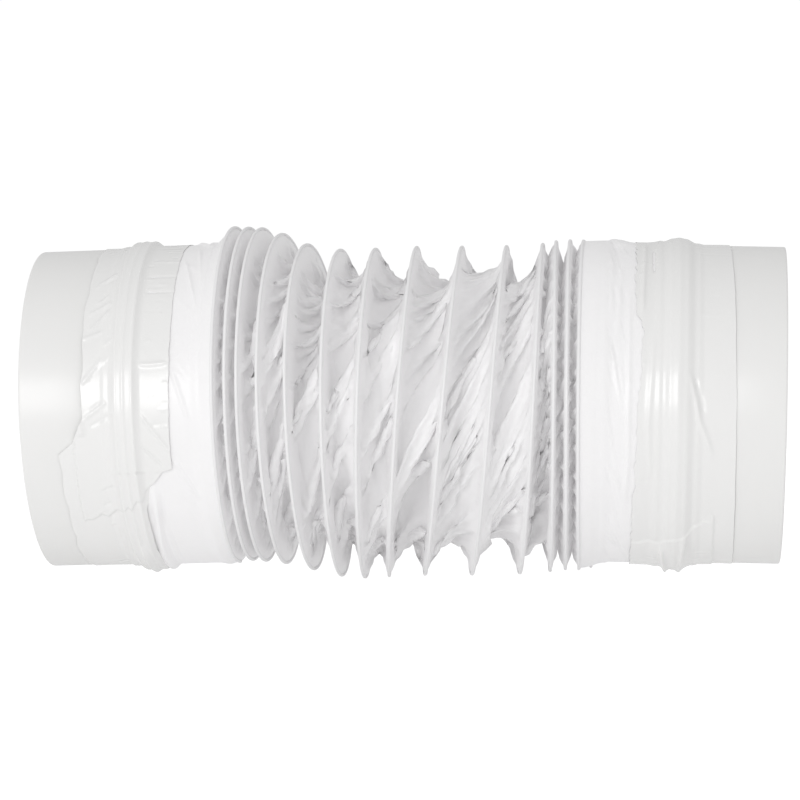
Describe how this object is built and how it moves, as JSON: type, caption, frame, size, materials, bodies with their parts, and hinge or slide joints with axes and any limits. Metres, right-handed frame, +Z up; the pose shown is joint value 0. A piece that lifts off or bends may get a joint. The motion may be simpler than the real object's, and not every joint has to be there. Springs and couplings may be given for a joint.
{
  "type": "flexible air duct",
  "caption": "Short flexible duct connector: two rigid round collars joined by a film hose on a spring-wire coil, each cuff held by a cable tie and sealing tape.",
  "frame": {"origin": "on the ground under the middle of the duct as it lies", "axes": "+X along the right collar's axis, out of its mouth; +Z up; the left collar is at -X"},
  "size_m": [0.2382, 0.1126, 0.111],
  "materials": {
    "pvc_pipe": "glossy white rigid PVC",
    "pvc_film": "thin wrinkled white PVC film, slightly see-through",
    "spring_wire": "spring-steel wire, coated white by the film around it",
    "nylon": "satin white nylon",
    "pvc_tape": "glossy white PVC tape"
  },
  "bodies": {
    "right_end": {"right_collar": "pvc_pipe", "right_cuff": "pvc_film", "right_cable_tie": "nylon", "right_tape": "pvc_tape", "wire_turn_14": "spring_wire", "film_pleat_13": "pvc_film"},
    "turn_13": {"wire_turn_13": "spring_wire", "film_pleat_12": "pvc_film"},
    "turn_12": {"wire_turn_12": "spring_wire", "film_pleat_11": "pvc_film"},
    "turn_11": {"wire_turn_11": "spring_wire"},
    "pleat_10": {"film_pleat_10": "pvc_film"},
    "turn_10": {"wire_turn_10": "spring_wire"},
    "pleat_09": {"film_pleat_09": "pvc_film"},
    "turn_09": {"wire_turn_09": "spring_wire"},
    "pleat_08": {"film_pleat_08": "pvc_film"},
    "turn_08": {"wire_turn_08": "spring_wire"},
    "pleat_07": {"film_pleat_07": "pvc_film"},
    "turn_07": {"wire_turn_07": "spring_wire"},
    "pleat_06": {"film_pleat_06": "pvc_film"},
    "turn_06": {"wire_turn_06": "spring_wire"},
    "pleat_05": {"film_pleat_05": "pvc_film"},
    "turn_05": {"wire_turn_05": "spring_wire"},
    "pleat_04": {"film_pleat_04": "pvc_film"},
    "turn_04": {"wire_turn_04": "spring_wire"},
    "pleat_03": {"film_pleat_03": "pvc_film"},
    "turn_03": {"wire_turn_03": "spring_wire", "film_pleat_02": "pvc_film"},
    "turn_02": {"wire_turn_02": "spring_wire", "film_pleat_01": "pvc_film"},
    "left_end": {"wire_turn_01": "spring_wire", "left_collar": "pvc_pipe", "left_cuff": "pvc_film", "left_cable_tie": "nylon", "left_tape": "pvc_tape"}
  },
  "joints": [
    {"name": "pleat_13_stretch", "type": "slide", "parent": "right_end", "child": "turn_13", "axis": [-0.9996, 0.0139, -0.0229], "range_m": [-0.0012, 0.018], "deforming": ["film_pleat_13"]},
    {"name": "pleat_12_stretch", "type": "slide", "parent": "turn_13", "child": "turn_12", "axis": [-0.9996, -0.0034, -0.0278], "range_m": [-0.00125, 0.01805], "deforming": ["film_pleat_12"]},
    {"name": "pleat_11_stretch", "type": "slide", "parent": "turn_12", "child": "turn_11", "axis": [-0.9998, -0.0075, -0.0178], "range_m": [-0.00125, 0.01805], "deforming": ["film_pleat_11"]},
    {"name": "pleat_10_stretch", "type": "slide", "parent": "turn_11", "child": "pleat_10", "axis": [-0.9999, -0.0113, 0.0031], "range_m": [-0.003, 0.01], "deforming": ["film_pleat_10"]},
    {"name": "pleat_10_tilt", "type": "hinge", "parent": "pleat_10", "child": "turn_10", "pos_m": [0.03752, -0.00339, 0.05454], "axis": [-0.0113, 0.9999, 0], "range_deg": [-6.5, 6.5]},
    {"name": "pleat_09_stretch", "type": "slide", "parent": "turn_10", "child": "pleat_09", "axis": [-0.9996, -0.0157, 0.0228], "range_m": [-0.00305, 0.01005], "deforming": ["film_pleat_09"]},
    {"name": "pleat_09_swing", "type": "hinge", "parent": "pleat_09", "child": "turn_09", "pos_m": [0.02317, -0.00358, 0.05384], "axis": [0.0228, 0.0004, 0.9997], "range_deg": [-8.5, 8.5]},
    {"name": "pleat_08_stretch", "type": "slide", "parent": "turn_09", "child": "pleat_08", "axis": [-0.9994, -0.0173, 0.0294], "range_m": [-0.00305, 0.01005], "deforming": ["film_pleat_08"]},
    {"name": "pleat_08_tilt", "type": "hinge", "parent": "pleat_08", "child": "turn_08", "pos_m": [0.00867, -0.00383, 0.05363], "axis": [-0.0173, 0.9999, 0], "range_deg": [-8.05, 8.05]},
    {"name": "pleat_07_stretch", "type": "slide", "parent": "turn_08", "child": "pleat_07", "axis": [-1, 0.0013, 0.0047], "range_m": [-0.00305, 0.01005], "deforming": ["film_pleat_07"]},
    {"name": "pleat_07_swing", "type": "hinge", "parent": "pleat_07", "child": "turn_07", "pos_m": [-0.00368, -0.00396, 0.05294], "axis": [0.0047, 0, 1], "range_deg": [-6.05, 6.05]},
    {"name": "pleat_06_stretch", "type": "slide", "parent": "turn_07", "child": "pleat_06", "axis": [-0.9981, 0.0428, -0.0439], "range_m": [-0.002, 0.00655], "deforming": ["film_pleat_06"]},
    {"name": "pleat_06_tilt", "type": "hinge", "parent": "pleat_06", "child": "turn_06", "pos_m": [-0.01318, -0.00378, 0.05225], "axis": [0.0428, 0.9991, 0], "range_deg": [-2.75, 2.75]},
    {"name": "pleat_05_stretch", "type": "slide", "parent": "turn_06", "child": "pleat_05", "axis": [-0.9927, 0.0882, -0.0817], "range_m": [-0.00305, 0.01005], "deforming": ["film_pleat_05"]},
    {"name": "pleat_05_swing", "type": "hinge", "parent": "pleat_05", "child": "turn_05", "pos_m": [-0.02228, -0.00317, 0.05251], "axis": [-0.0814, 0.0072, 0.9967], "range_deg": [-2.55, 2.55]},
    {"name": "pleat_04_stretch", "type": "slide", "parent": "turn_05", "child": "pleat_04", "axis": [-0.9896, 0.1175, -0.0835], "range_m": [-0.00305, 0.01005], "deforming": ["film_pleat_04"]},
    {"name": "pleat_04_tilt", "type": "hinge", "parent": "pleat_04", "child": "turn_04", "pos_m": [-0.03158, -0.00219, 0.05489], "axis": [0.1179, 0.993, 0], "range_deg": [-5.05, 5.05]},
    {"name": "pleat_03_stretch", "type": "slide", "parent": "turn_04", "child": "pleat_03", "axis": [-0.9909, 0.1198, -0.0621], "range_m": [-0.002, 0.00655], "deforming": ["film_pleat_03"]},
    {"name": "pleat_03_swing", "type": "hinge", "parent": "pleat_03", "child": "turn_03", "pos_m": [-0.03988, -0.00118, 0.05727], "axis": [-0.0616, 0.0075, 0.9981], "range_deg": [-3.05, 3.05]},
    {"name": "pleat_02_stretch", "type": "slide", "parent": "turn_03", "child": "turn_02", "axis": [-0.993, 0.1079, -0.0489], "range_m": [-0.00125, 0.01805], "deforming": ["film_pleat_02"]},
    {"name": "pleat_01_stretch", "type": "slide", "parent": "turn_02", "child": "left_end", "axis": [-0.9939, 0.0958, -0.0541], "range_m": [-0.00125, 0.01805], "deforming": ["film_pleat_01"]}
  ],
  "couplings": [
    {"joint": "pleat_12_stretch", "follows": "pleat_13_stretch", "ratio": 1},
    {"joint": "pleat_11_stretch", "follows": "pleat_13_stretch", "ratio": 1},
    {"joint": "pleat_09_stretch", "follows": "pleat_10_stretch", "ratio": 1},
    {"joint": "pleat_08_stretch", "follows": "pleat_10_stretch", "ratio": 1},
    {"joint": "pleat_08_tilt", "follows": "pleat_10_tilt", "ratio": 1.2308},
    {"joint": "pleat_07_stretch", "follows": "pleat_10_stretch", "ratio": 1},
    {"joint": "pleat_07_swing", "follows": "pleat_09_swing", "ratio": 0.70588},
    {"joint": "pleat_06_stretch", "follows": "pleat_10_stretch", "ratio": 0.65},
    {"joint": "pleat_06_tilt", "follows": "pleat_10_tilt", "ratio": 0.41539},
    {"joint": "pleat_05_stretch", "follows": "pleat_10_stretch", "ratio": 1},
    {"joint": "pleat_05_swing", "follows": "pleat_09_swing", "ratio": 0.29412},
    {"joint": "pleat_04_stretch", "follows": "pleat_10_stretch", "ratio": 1},
    {"joint": "pleat_04_tilt", "follows": "pleat_10_tilt", "ratio": 0.76923},
    {"joint": "pleat_03_stretch", "follows": "pleat_10_stretch", "ratio": 0.65},
    {"joint": "pleat_03_swing", "follows": "pleat_09_swing", "ratio": 0.35294},
    {"joint": "pleat_02_stretch", "follows": "pleat_13_stretch", "ratio": 1},
    {"joint": "pleat_01_stretch", "follows": "pleat_13_stretch", "ratio": 1}
  ]
}
